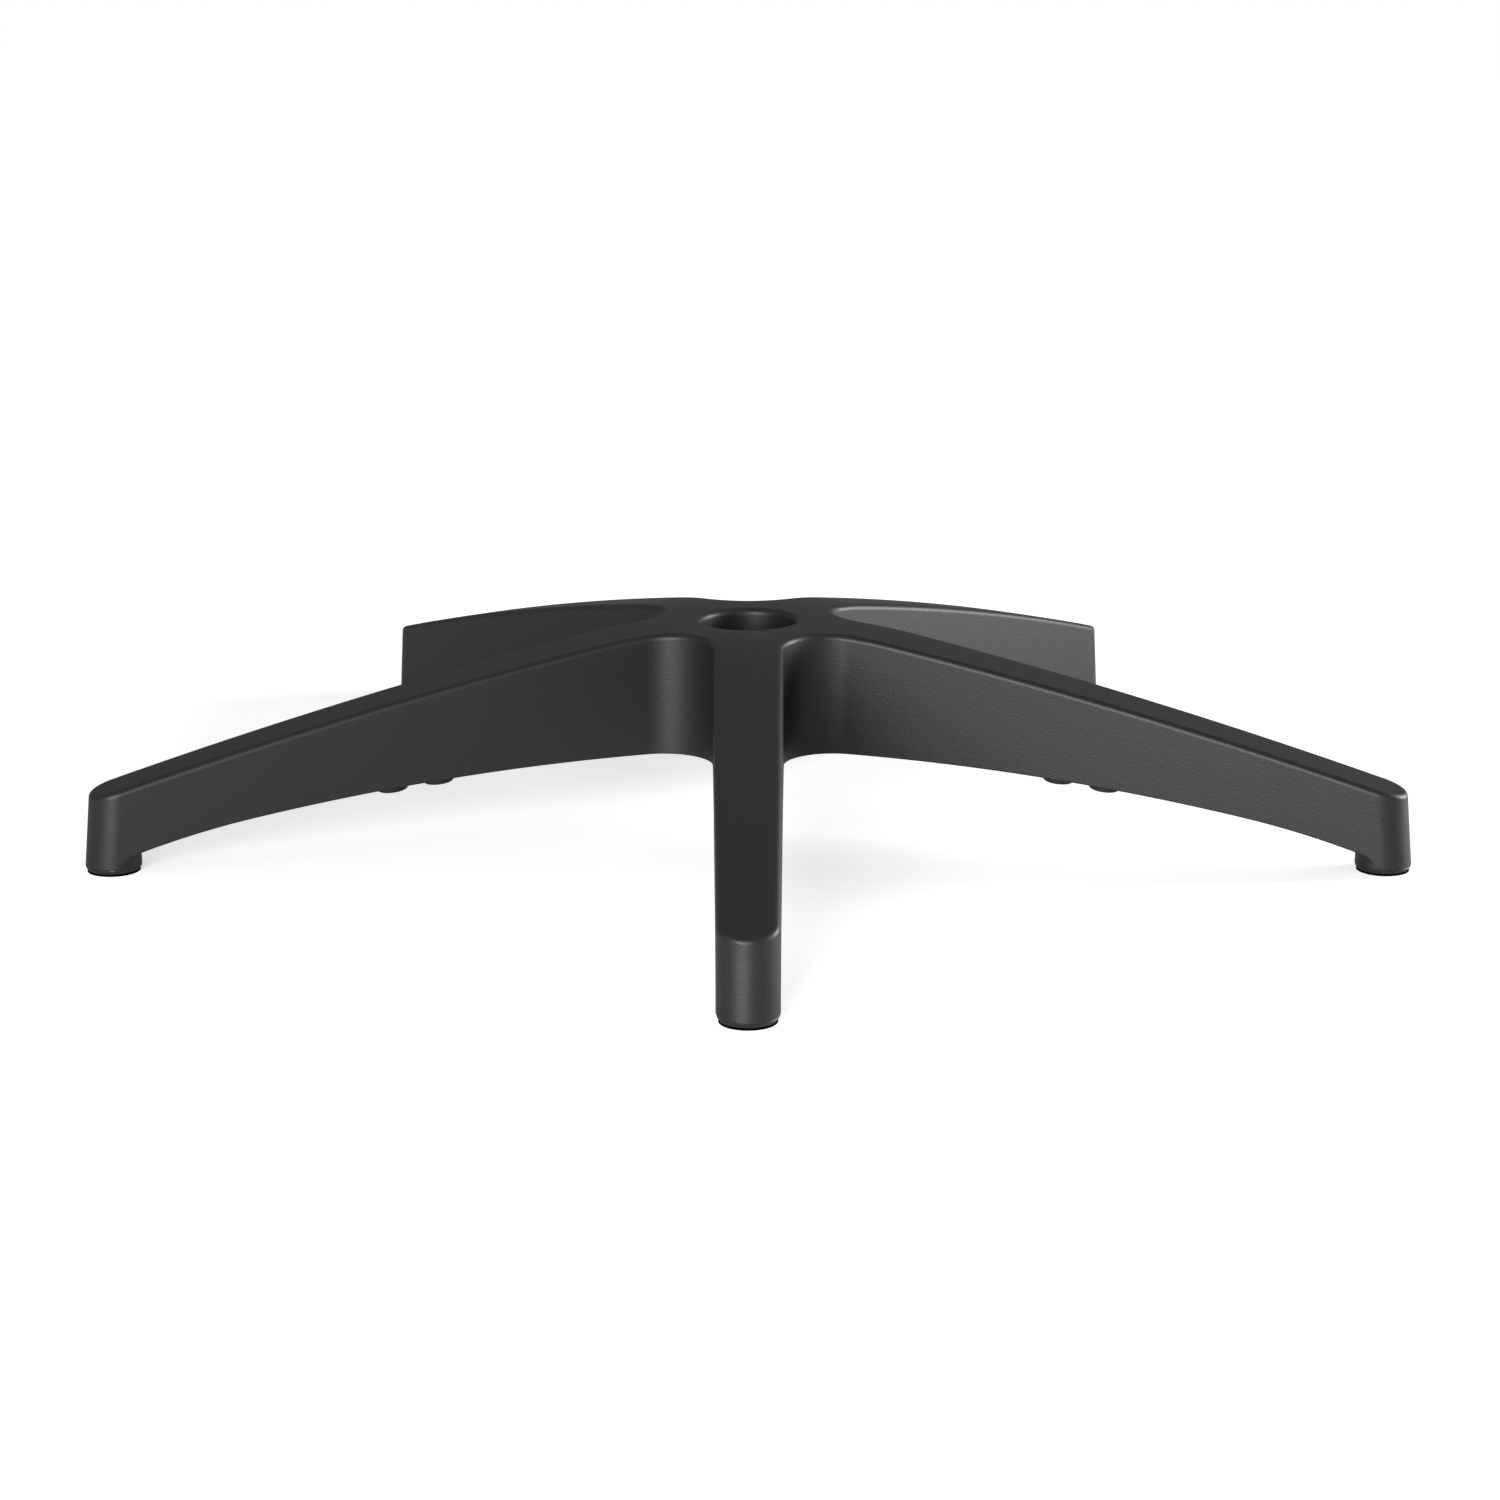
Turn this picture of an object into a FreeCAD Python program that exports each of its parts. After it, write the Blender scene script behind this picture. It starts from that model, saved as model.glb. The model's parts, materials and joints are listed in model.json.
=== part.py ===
import FreeCAD, Part
import math
import os

import Sketcher

# Office chair five star base, moulded in one piece of black polypropylene.
# Millimetres, +Z up. The origin is the centre of the gas lift bore's mouth, in the flat top of the hub.
# The first leg points along -Y and the others follow every fifth of a turn. The feet end one overall
# height below the origin. One leg with its fifth of the hub is shaped along +X and then repeated.

# Driving dimensions, in millimetres and degrees. Radii named "..._circle" are measured from the hub axis.
SIZES = {
    "leg_count": 5,
    # side view
    "overall_height": 106.0,
    "hub_height": 64.1,
    "crown_flat_circle": 34.7,
    "crown_radius": 267.5,
    "crown_end_circle": 83.0,
    "leg_top_radius": 2867.0,
    "under_flat_circle": 55.0,
    "under_radius": 1311.0,
    "under_end_circle": 267.7,
    "under_tip_radius": 433.6,
    "arch_radius": 11.0,
    # plan view: the foot at floor level, the hollow corners of the hub at the top
    "foot_circle": 335.5,
    "foot_radius": 14.4,
    "leg_taper": 0.87,
    "wall_draft": 0.52,
    "tip_lean": 4.8,
    "hub_corner_radius": 26.5,
    "top_edge_radius": 3.0,
    # walls
    "side_wall": 4.0,
    "top_wall": 4.5,
    "hub_tube_wall": 6.5,
    # gas lift bore
    "lift_bore_radius": 25.0,
    "lift_taper": 1.43,
    "mouth_radius": 3.2,
    "lift_land_height": 6.0,
    # foot
    "boss_step": 0.4,
    "socket_radius": 5.5,
    "socket_depth": 25.0,
    "socket_lead_in": 0.8,
    "collar_height": 1.0,
    "foot_chamfer_width": 1.8,
    "foot_chamfer_height": 3.2,
    # ribs
    "long_rib_thickness": 3.0,
    "cross_rib_thickness": 2.4,
    "cross_rib_first_circle": 72.0,
    "cross_rib_pitch": 24.0,
    "cross_rib_count": 11,
    "hub_web_thickness": 3.0,
    "rib_recess": 2.0,
    # stacking posts
    "post_radius": 8.0,
    "post_wall": 2.6,
    "post_first_circle": 168.0,
    "post_pitch": 24.0,
    "post_drop": 5.0,
}
START, END, CENTRE = 1, 2, 3  # the points of a sketch's line or arc
ORIGIN = (-1, START)
X_AXIS, Y_AXIS = -1, -2
SPARE = 5.0  # how far a cutting shape reaches past what it cuts
FULL_TURN = 360.0
FULL_HEIGHT = f"Sizes.overall_height + {2 * SPARE}"
BELOW_FLOOR = f"-Sizes.overall_height - {SPARE}"

doc = FreeCAD.newDocument("five_star_base")
sheet = doc.addObject("Spreadsheet::Sheet", "Sizes")
for row, (alias, number) in enumerate(SIZES.items(), start=1):
    sheet.set(f"A{row}", alias)
    sheet.set(f"B{row}", str(number))
    sheet.setAlias(f"B{row}", alias)
doc.recompute()


def size(alias):
    return float(getattr(sheet, alias))


def tangent(alias):
    return math.tan(math.radians(size(alias)))


def origin_part(body, role):
    """Plane or axis of a body's own origin."""
    return next(feature for feature in body.Origin.OriginFeatures if feature.Role == role)


def new_body(name):
    return doc.addObject("PartDesign::Body", name)


def new_sketch(body, name, role, height=None):
    sketch = body.newObject("Sketcher::SketchObject", name)
    sketch.AttachmentSupport = (origin_part(body, role), [""])
    sketch.MapMode = "FlatFace"
    if height is not None:
        sketch.setExpression("AttachmentOffset.Base.z", height)
    return sketch


def measure(sketch, name, expression, constraint):
    """Dimension whose value follows an expression on the sheet."""
    index = sketch.addConstraint(constraint)
    sketch.renameConstraint(index, name)
    sketch.setExpression(f"Constraints.{name}", expression)


def arc(centre, radius, start, end):
    """Arc about a centre, anticlockwise from the start angle to the end angle, in radians."""
    circle = Part.Circle(FreeCAD.Vector(*centre, 0), FreeCAD.Vector(0, 0, 1), radius)
    return Part.ArcOfCircle(circle, start, end)


def line(start, end):
    return Part.LineSegment(FreeCAD.Vector(*start, 0), FreeCAD.Vector(*end, 0))


def sector_sketch(body, name, height, height_text, inset_text, inset):
    """One leg with its fifth of the hub, in plan at one height: two radial lines to the middle of the
    hollow corners beside the leg, the corners, the tapering sides and the round tip.
    The inset moves the whole outline inwards, for the space inside the walls."""
    half_turn = math.pi / size("leg_count")
    taper = math.radians(size("leg_taper"))
    rise = size("overall_height") + height
    tip = size("foot_circle") - rise * tangent("tip_lean")
    floor_side = size("foot_radius") + size("foot_circle") * math.sin(taper)
    side = floor_side - rise * tangent("wall_draft") - inset
    top_side = floor_side - size("overall_height") * tangent("wall_draft")
    corner = size("hub_corner_radius") + top_side - side
    corner_reach = (side + corner) / math.sin(half_turn + taper)
    tip_radius = side - tip * math.sin(taper)

    sketch = new_sketch(body, name, "XY_Plane", height_text)
    middle = corner_reach - corner
    for sign in (1, -1):
        direction = (math.cos(half_turn), sign * math.sin(half_turn))
        centre = (corner_reach * direction[0], corner_reach * direction[1])
        edge_point = (middle * direction[0], middle * direction[1])
        normal = sign * (math.pi / 2 - taper)
        meets = (centre[0] - corner * math.cos(normal), centre[1] - corner * math.sin(normal))
        tip_point = (tip + tip_radius * math.cos(normal), tip_radius * math.sin(normal))
        towards_hub = math.pi + sign * half_turn
        towards_leg = math.pi + normal
        sketch.addGeometry(line((0, 0), edge_point))
        sketch.addGeometry(arc(centre, corner, *sorted((towards_hub, towards_leg))))
        sketch.addGeometry(line(meets, tip_point))
    normal = math.pi / 2 - taper
    sketch.addGeometry(arc((tip, 0), tip_radius, -normal, normal))

    LEFT_RAY, LEFT_CORNER, LEFT_SIDE, RIGHT_RAY, RIGHT_CORNER, RIGHT_SIDE, TIP = range(7)
    add = sketch.addConstraint
    add(Sketcher.Constraint("Coincident", LEFT_RAY, START, *ORIGIN))
    add(Sketcher.Constraint("Coincident", RIGHT_RAY, START, *ORIGIN))
    add(Sketcher.Constraint("Coincident", LEFT_RAY, END, LEFT_CORNER, START))
    add(Sketcher.Constraint("Coincident", RIGHT_RAY, END, RIGHT_CORNER, END))
    add(Sketcher.Constraint("PointOnObject", LEFT_CORNER, CENTRE, LEFT_RAY))
    add(Sketcher.Constraint("PointOnObject", RIGHT_CORNER, CENTRE, RIGHT_RAY))
    add(Sketcher.Constraint("Tangent", LEFT_CORNER, END, LEFT_SIDE, START))
    add(Sketcher.Constraint("Tangent", RIGHT_CORNER, START, RIGHT_SIDE, START))
    add(Sketcher.Constraint("Tangent", LEFT_SIDE, END, TIP, END))
    add(Sketcher.Constraint("Tangent", RIGHT_SIDE, END, TIP, START))
    add(Sketcher.Constraint("PointOnObject", TIP, CENTRE, X_AXIS))
    add(Sketcher.Constraint("Equal", LEFT_CORNER, RIGHT_CORNER))
    rise_text = f"(Sizes.overall_height + ({height_text}))"
    tip_text = f"(Sizes.foot_circle - {rise_text} * tan(Sizes.tip_lean * 1 deg))"
    draft_text = "tan(Sizes.wall_draft * 1 deg)"
    taper_text = "Sizes.leg_taper * 1 deg"
    measure(
        sketch, "left_ray", "180 deg / Sizes.leg_count", Sketcher.Constraint("Angle", LEFT_RAY, half_turn)
    )
    measure(
        sketch, "right_ray", "-180 deg / Sizes.leg_count",
        Sketcher.Constraint("Angle", RIGHT_RAY, -half_turn),
    )
    measure(sketch, "left_taper", "-Sizes.leg_taper * 1 deg", Sketcher.Constraint("Angle", LEFT_SIDE, -taper))
    measure(sketch, "right_taper", taper_text, Sketcher.Constraint("Angle", RIGHT_SIDE, taper))
    measure(sketch, "tip_place", tip_text, Sketcher.Constraint("DistanceX", *ORIGIN, TIP, CENTRE, tip))
    measure(
        sketch, "tip_radius",
        f"Sizes.foot_radius + (Sizes.foot_circle - {tip_text}) * sin({taper_text})"
        f" - {rise_text} * {draft_text} - ({inset_text})",
        Sketcher.Constraint("Radius", TIP, tip_radius),
    )
    measure(
        sketch, "corner_radius", f"Sizes.hub_corner_radius + ({height_text}) * {draft_text} + ({inset_text})",
        Sketcher.Constraint("Radius", LEFT_CORNER, corner),
    )
    return sketch


def leg_block(name, top_text, bottom_text, inset_text, top, bottom, inset):
    """One leg as a drafted block between two heights, ruled between its plan outlines there."""
    body = new_body(name)
    upper = sector_sketch(body, f"{name}_upper_plan", top, top_text, inset_text, inset)
    lower = sector_sketch(body, f"{name}_lower_plan", bottom, bottom_text, inset_text, inset)
    block = body.newObject("PartDesign::AdditiveLoft", f"{name}_block")
    block.Profile = upper
    block.Sections = [lower]
    block.Ruled = True
    body.Tip = block
    return body


def bend(start, start_slope, radius, end_x):
    """Centre and end height of an arc that leaves a point at a downward slope angle and bends down."""
    centre = (start[0] - radius * math.sin(start_slope), start[1] - radius * math.cos(start_slope))
    end_slope = math.asin((end_x - centre[0]) / radius)
    return centre, end_slope, (end_x, centre[1] + radius * math.cos(end_slope))


def crown_sketch(body, name, drop_text, drop, up_text, up):
    """Half section of a space bounded below or above by the crown line: flat over the hub, a bend, then
    the long gentle sweep of the legs. The line is closed at a given height from it on the axis."""
    flat, first_end = size("crown_flat_circle"), size("crown_end_circle")
    reach = size("foot_circle") + size("foot_radius") + SPARE
    first, slope, middle = bend((flat, -drop), 0.0, size("crown_radius"), first_end)
    second, end_slope, last = bend(middle, slope, size("leg_top_radius"), reach)
    sketch = new_sketch(body, name, "XZ_Plane")
    HUB, BEND, SWEEP, RIM, CLOSE, AXIS = range(6)
    sketch.addGeometry(line((0, -drop), (flat, -drop)))
    sketch.addGeometry(arc(first, size("crown_radius"), math.pi / 2 - slope, math.pi / 2))
    sketch.addGeometry(arc(second, size("leg_top_radius"), math.pi / 2 - end_slope, math.pi / 2 - slope))
    sketch.addGeometry(line(last, (reach, up)))
    sketch.addGeometry(line((reach, up), (0, up)))
    sketch.addGeometry(line((0, up), (0, -drop)))
    add = sketch.addConstraint
    add(Sketcher.Constraint("Horizontal", HUB))
    add(Sketcher.Constraint("Tangent", HUB, END, BEND, END))
    add(Sketcher.Constraint("Tangent", BEND, START, SWEEP, END))
    add(Sketcher.Constraint("Coincident", SWEEP, START, RIM, START))
    add(Sketcher.Constraint("Vertical", RIM))
    add(Sketcher.Constraint("Coincident", RIM, END, CLOSE, START))
    add(Sketcher.Constraint("Horizontal", CLOSE))
    add(Sketcher.Constraint("Coincident", CLOSE, END, AXIS, START))
    add(Sketcher.Constraint("Coincident", AXIS, END, HUB, START))
    add(Sketcher.Constraint("PointOnObject", HUB, START, Y_AXIS))
    add(Sketcher.Constraint("PointOnObject", CLOSE, END, Y_AXIS))
    measure(
        sketch, "hub_level", f"-({drop_text})", Sketcher.Constraint("DistanceY", *ORIGIN, HUB, START, -drop)
    )
    measure(sketch, "close_level", up_text, Sketcher.Constraint("DistanceY", *ORIGIN, CLOSE, END, up))
    measure(
        sketch, "flat", "Sizes.crown_flat_circle", Sketcher.Constraint("DistanceX", *ORIGIN, HUB, END, flat)
    )
    measure(
        sketch, "bend_end", "Sizes.crown_end_circle",
        Sketcher.Constraint("DistanceX", *ORIGIN, BEND, START, first_end),
    )
    measure(
        sketch, "reach", f"Sizes.foot_circle + Sizes.foot_radius + {SPARE}",
        Sketcher.Constraint("DistanceX", *ORIGIN, RIM, START, reach),
    )
    measure(
        sketch, "bend_radius", "Sizes.crown_radius",
        Sketcher.Constraint("Radius", BEND, size("crown_radius")),
    )
    measure(
        sketch, "sweep_radius", "Sizes.leg_top_radius",
        Sketcher.Constraint("Radius", SWEEP, size("leg_top_radius")),
    )
    return sketch


def underside_sketch(body, name, shift_text, shift):
    """Half section of the space under the legs: level under the hub, then two bends down towards the
    foot, and the arch that ends upright over the middle of the foot. The shift raises the line."""
    flat, first_end = size("under_flat_circle"), size("under_end_circle")
    level = shift - size("hub_height")
    foot = size("foot_circle")
    arch = size("arch_radius")
    first, slope, middle = bend((flat, level), 0.0, size("under_radius"), first_end)
    second, _, _ = bend(middle, slope, size("under_tip_radius"), first_end)
    between = size("under_tip_radius") - arch
    arch_x = foot - arch
    lean = math.asin((arch_x - second[0]) / between)
    arch_z = second[1] + between * math.cos(lean)
    floor = -size("overall_height") - 2 * SPARE
    sketch = new_sketch(body, name, "XZ_Plane")
    HUB, BEND, SWEEP, ARCH, FOOT, CLOSE, AXIS = range(7)
    sketch.addGeometry(line((0, level), (flat, level)))
    sketch.addGeometry(arc(first, size("under_radius"), math.pi / 2 - slope, math.pi / 2))
    sketch.addGeometry(arc(second, size("under_tip_radius"), math.pi / 2 - lean, math.pi / 2 - slope))
    sketch.addGeometry(arc((arch_x, arch_z), arch, 0, math.pi / 2 - lean))
    sketch.addGeometry(line((foot, arch_z), (foot, floor)))
    sketch.addGeometry(line((foot, floor), (0, floor)))
    sketch.addGeometry(line((0, floor), (0, level)))
    add = sketch.addConstraint
    add(Sketcher.Constraint("Horizontal", HUB))
    add(Sketcher.Constraint("Tangent", HUB, END, BEND, END))
    add(Sketcher.Constraint("Tangent", BEND, START, SWEEP, END))
    add(Sketcher.Constraint("Tangent", SWEEP, START, ARCH, END))
    add(Sketcher.Constraint("Tangent", ARCH, START, FOOT, START))
    add(Sketcher.Constraint("Vertical", FOOT))
    add(Sketcher.Constraint("Coincident", FOOT, END, CLOSE, START))
    add(Sketcher.Constraint("Horizontal", CLOSE))
    add(Sketcher.Constraint("Coincident", CLOSE, END, AXIS, START))
    add(Sketcher.Constraint("Coincident", AXIS, END, HUB, START))
    add(Sketcher.Constraint("PointOnObject", HUB, START, Y_AXIS))
    add(Sketcher.Constraint("PointOnObject", CLOSE, END, Y_AXIS))
    measure(
        sketch, "hub_level", f"({shift_text}) - Sizes.hub_height",
        Sketcher.Constraint("DistanceY", *ORIGIN, HUB, START, level),
    )
    measure(
        sketch, "close_level", f"-Sizes.overall_height - {2 * SPARE}",
        Sketcher.Constraint("DistanceY", *ORIGIN, CLOSE, END, floor),
    )
    measure(
        sketch, "flat", "Sizes.under_flat_circle", Sketcher.Constraint("DistanceX", *ORIGIN, HUB, END, flat)
    )
    measure(
        sketch, "bend_end", "Sizes.under_end_circle",
        Sketcher.Constraint("DistanceX", *ORIGIN, BEND, START, first_end),
    )
    measure(
        sketch, "foot_middle", "Sizes.foot_circle", Sketcher.Constraint("DistanceX", *ORIGIN, FOOT, END, foot)
    )
    measure(
        sketch, "bend_radius", "Sizes.under_radius", Sketcher.Constraint("Radius", BEND, size("under_radius"))
    )
    measure(
        sketch, "sweep_radius", "Sizes.under_tip_radius",
        Sketcher.Constraint("Radius", SWEEP, size("under_tip_radius")),
    )
    measure(sketch, "arch_radius", "Sizes.arch_radius", Sketcher.Constraint("Radius", ARCH, arch))
    return sketch


def turned(body, kind, name, sketch, axis="V_Axis"):
    """Full turn of a section about the sketch's upright axis, or about a line drawn in it."""
    feature = body.newObject(f"PartDesign::{kind}", name)
    feature.Profile = sketch
    feature.ReferenceAxis = (sketch, [axis])
    feature.Angle = FULL_TURN
    body.Tip = feature
    return feature


def underside(name, shift_text, shift):
    """The whole space below the underside line, turned about the hub axis."""
    body = new_body(name)
    turned(body, "Revolution", f"{name}_turned", underside_sketch(body, f"{name}_section", shift_text, shift))
    return body


def combined(kind, name, **links):
    """Union or difference of whole shapes."""
    feature = doc.addObject(f"Part::{kind}", name)
    for prop, value in links.items():
        setattr(feature, prop, value)
    return feature


def rectangle(sketch, near_text, near, far_text, far, width_text, width):
    """Rectangle centred on the leg's middle line, between two distances from the hub axis."""
    corners = [(near, -width / 2), (far, -width / 2), (far, width / 2), (near, width / 2)]
    for start, end in zip(corners, corners[1:] + corners[:1]):
        sketch.addGeometry(line(start, end))
    RIGHT, FAR, LEFT, NEAR = range(4)
    add = sketch.addConstraint
    for side, following in ((RIGHT, FAR), (FAR, LEFT), (LEFT, NEAR), (NEAR, RIGHT)):
        add(Sketcher.Constraint("Coincident", side, END, following, START))
    add(Sketcher.Constraint("Horizontal", RIGHT))
    add(Sketcher.Constraint("Horizontal", LEFT))
    add(Sketcher.Constraint("Vertical", FAR))
    add(Sketcher.Constraint("Symmetric", NEAR, START, NEAR, END, X_AXIS))
    measure(sketch, "near", near_text, Sketcher.Constraint("DistanceX", *ORIGIN, NEAR, START, near))
    measure(sketch, "far", far_text, Sketcher.Constraint("DistanceX", *ORIGIN, FAR, START, far))
    measure(sketch, "width", width_text, Sketcher.Constraint("DistanceY", FAR, START, FAR, END, width))


def disc(sketch, name, place_text, place, radius_text, radius):
    """Circle on the leg's middle line."""
    circle = sketch.addGeometry(Part.Circle(FreeCAD.Vector(place, 0, 0), FreeCAD.Vector(0, 0, 1), radius))
    sketch.addConstraint(Sketcher.Constraint("PointOnObject", circle, CENTRE, X_AXIS))
    measure(
        sketch, f"{name}_place", place_text, Sketcher.Constraint("DistanceX", *ORIGIN, circle, CENTRE, place)
    )
    measure(sketch, f"{name}_radius", radius_text, Sketcher.Constraint("Radius", circle, radius))


def upright(body, kind, name, sketch):
    """Pad or pocket from below the floor to above the hub."""
    feature = body.newObject(f"PartDesign::{kind}", name)
    feature.Profile = sketch
    feature.setExpression("Length", FULL_HEIGHT)
    if kind == "Pocket":
        feature.Reversed = True
    body.Tip = feature
    return feature


def plan(body, name, angle_text=None):
    """Sketch below the floor, turned about the hub axis where an angle is given."""
    sketch = new_sketch(body, name, "XY_Plane", BELOW_FLOOR)
    if angle_text:
        sketch.setExpression("AttachmentOffset.Rotation.Angle", angle_text)
    return sketch


def bore_sketch(body, name):
    """Half section of the gas lift bore: a round mouth in the hub top, the taper down through it, and a
    short straight land at its lower end."""
    mouth = size("mouth_radius")
    lean = math.radians(size("lift_taper"))
    top = size("lift_bore_radius")
    centre = top - mouth * math.tan(lean) + mouth / math.cos(lean)
    meets = (centre - mouth * math.cos(lean), -mouth + mouth * math.sin(lean))
    land_z = size("lift_land_height") - size("hub_height")
    land = top + land_z * math.tan(lean)
    end_z = -size("hub_height") - SPARE
    sketch = new_sketch(body, name, "XZ_Plane")
    MOUTH, TAPER, LAND, BOTTOM, AXIS, TOP, LIP = range(7)
    sketch.addGeometry(arc((centre, -mouth), mouth, math.pi / 2, math.pi - lean))
    sketch.addGeometry(line(meets, (land, land_z)))
    sketch.addGeometry(line((land, land_z), (land, end_z)))
    sketch.addGeometry(line((land, end_z), (0, end_z)))
    sketch.addGeometry(line((0, end_z), (0, SPARE)))
    sketch.addGeometry(line((0, SPARE), (centre, SPARE)))
    sketch.addGeometry(line((centre, SPARE), (centre, 0)))
    add = sketch.addConstraint
    add(Sketcher.Constraint("Tangent", MOUTH, END, TAPER, START))
    add(Sketcher.Constraint("Coincident", TAPER, END, LAND, START))
    add(Sketcher.Constraint("Coincident", LAND, END, BOTTOM, START))
    add(Sketcher.Constraint("Coincident", BOTTOM, END, AXIS, START))
    add(Sketcher.Constraint("Coincident", AXIS, END, TOP, START))
    add(Sketcher.Constraint("Coincident", TOP, END, LIP, START))
    add(Sketcher.Constraint("Coincident", LIP, END, MOUTH, START))
    add(Sketcher.Constraint("Vertical", LAND))
    add(Sketcher.Constraint("Horizontal", BOTTOM))
    add(Sketcher.Constraint("Horizontal", TOP))
    add(Sketcher.Constraint("Vertical", LIP))
    add(Sketcher.Constraint("Vertical", MOUTH, START, MOUTH, CENTRE))
    add(Sketcher.Constraint("PointOnObject", AXIS, START, Y_AXIS))
    add(Sketcher.Constraint("PointOnObject", AXIS, END, Y_AXIS))
    add(Sketcher.Constraint("PointOnObject", MOUTH, START, X_AXIS))
    land_depth_text = "(Sizes.hub_height - Sizes.lift_land_height)"
    measure(sketch, "mouth", "Sizes.mouth_radius", Sketcher.Constraint("Radius", MOUTH, mouth))
    measure(
        sketch, "bottom_level", f"-Sizes.hub_height - {SPARE}",
        Sketcher.Constraint("DistanceY", *ORIGIN, BOTTOM, END, end_z),
    )
    measure(
        sketch, "land_level", f"-{land_depth_text}",
        Sketcher.Constraint("DistanceY", *ORIGIN, LAND, START, land_z),
    )
    measure(
        sketch, "land_radius", f"Sizes.lift_bore_radius - {land_depth_text} * tan(Sizes.lift_taper * 1 deg)",
        Sketcher.Constraint("DistanceX", *ORIGIN, LAND, END, land),
    )
    measure(sketch, "top_level", f"{SPARE}", Sketcher.Constraint("DistanceY", *ORIGIN, TOP, START, SPARE))
    measure(
        sketch, "taper", "-90 - Sizes.lift_taper",
        Sketcher.Constraint("Angle", TAPER, -math.pi / 2 - lean),
    )
    return sketch


def foot_section(body, name, points):
    """Closed section in the leg's upright middle plane, with the foot's own axis drawn in it.
    Each point is its reach from that axis and its height above the floor, as texts and numbers."""
    sketch = new_sketch(body, name, "XZ_Plane")
    foot = size("foot_circle")
    floor = -size("overall_height")
    corners = [(foot + reach, floor + rise) for _, reach, _, rise in points]
    for start, end in zip(corners, corners[1:] + corners[:1]):
        sketch.addGeometry(line(start, end))
    last = len(points) - 1
    for side in range(len(points)):
        following = 0 if side == last else side + 1
        sketch.addConstraint(Sketcher.Constraint("Coincident", side, END, following, START))
    for side, (reach_text, reach, rise_text, rise) in enumerate(points):
        measure(
            sketch, f"reach_{side}", f"Sizes.foot_circle + ({reach_text})",
            Sketcher.Constraint("DistanceX", *ORIGIN, side, START, foot + reach),
        )
        measure(
            sketch, f"rise_{side}", f"-Sizes.overall_height + ({rise_text})",
            Sketcher.Constraint("DistanceY", *ORIGIN, side, START, floor + rise),
        )
    axis = sketch.addGeometry(line((foot, floor), (foot, 0)), True)
    sketch.addConstraint(Sketcher.Constraint("Vertical", axis))
    sketch.addConstraint(Sketcher.Constraint("PointOnObject", axis, END, X_AXIS))
    measure(
        sketch, "axis_place", "Sizes.foot_circle", Sketcher.Constraint("DistanceX", *ORIGIN, axis, END, foot)
    )
    measure(
        sketch, "axis_floor", "-Sizes.overall_height",
        Sketcher.Constraint("DistanceY", *ORIGIN, axis, START, floor),
    )
    return sketch


def socket_sketch(body, name):
    """Blind bore for the caster's stem, with a short lead-in cone at its mouth."""
    bore, depth, lead = size("socket_radius"), size("socket_depth"), size("socket_lead_in")
    mouth_text = "Sizes.socket_radius + Sizes.socket_lead_in"
    return foot_section(body, name, [
        ("0", 0.0, f"-{SPARE}", -SPARE),
        (mouth_text, bore + lead, f"-{SPARE}", -SPARE),
        (mouth_text, bore + lead, "0", 0.0),
        ("Sizes.socket_radius", bore, "Sizes.socket_lead_in", lead),
        ("Sizes.socket_radius", bore, "Sizes.socket_depth", depth),
        ("0", 0.0, "Sizes.socket_depth", depth),
    ])


def foot_edge_sketch(body, name):
    """Ring cut from the foot's lower edge: it leaves a low collar on the floor and a steep chamfer. The
    ring reaches one chamfer's width past the wall, so that it stays below the arch behind the foot."""
    foot, width = size("foot_radius"), size("foot_chamfer_width")
    collar, height = size("collar_height"), size("foot_chamfer_height")
    collar_text = "Sizes.foot_radius - Sizes.foot_chamfer_width"
    outside_text = "Sizes.foot_radius + Sizes.foot_chamfer_width"
    top_text = "Sizes.collar_height + 2 * Sizes.foot_chamfer_height"
    return foot_section(body, name, [
        (collar_text, foot - width, f"-{SPARE}", -SPARE),
        (outside_text, foot + width, f"-{SPARE}", -SPARE),
        (outside_text, foot + width, top_text, collar + 2 * height),
        (collar_text, foot - width, "Sizes.collar_height", collar),
    ])


def steepness(face):
    """Upward share of a face's normal in its middle: 1 is level, 0 is upright."""
    u0, u1, v0, v1 = face.ParameterRange
    return abs(face.normalAt((u0 + u1) / 2, (v0 + v1) / 2).z)


def top_edges(shape):
    """Edges between the crown and the walls, without those on the planes between two legs."""
    nearly_level, nearly_upright, angle_slack = 0.9, 0.3, 0.001
    names = []
    for number, edge in enumerate(shape.Edges, start=1):
        beside = [steepness(face) for face in shape.ancestorsOfType(edge, Part.Face)]
        if len(beside) != 2 or max(beside) < nearly_level or min(beside) > nearly_upright:
            continue
        middle = edge.valueAt((edge.FirstParameter + edge.LastParameter) / 2)
        from_sector_plane = abs(abs(math.atan2(middle.y, middle.x)) - math.pi / size("leg_count"))
        if from_sector_plane > angle_slack and middle.z > SPARE - size("overall_height"):
            names.append(f"Edge{number}")
    return names


# The leg's outer form: drafted walls, cut along the crown line, with a small round on its top edges.
outer = leg_block(
    "outer_form", f"{SPARE}", "-Sizes.overall_height", "0", SPARE, -size("overall_height"), 0.0
)
above = crown_sketch(outer, "space_above", "0", 0.0, f"{2 * SPARE}", 2 * SPARE)
crown = turned(outer, "Groove", "crown", above)
doc.recompute()
rounding = outer.newObject("PartDesign::Fillet", "top_edge_rounding")
rounding.Base = (crown, top_edges(outer.Shape))
rounding.setExpression("Radius", "Sizes.top_edge_radius")
outer.Tip = rounding

# The space inside its walls and under its top.
inner = leg_block(
    "inner_form", "0", BELOW_FLOOR, "Sizes.side_wall",
    0.0, -size("overall_height") - SPARE, size("side_wall"),
)
above = crown_sketch(
    inner, "space_above_ceiling", "Sizes.top_wall", size("top_wall"), f"{2 * SPARE}", 2 * SPARE
)
turned(inner, "Groove", "ceiling", above)

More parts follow.
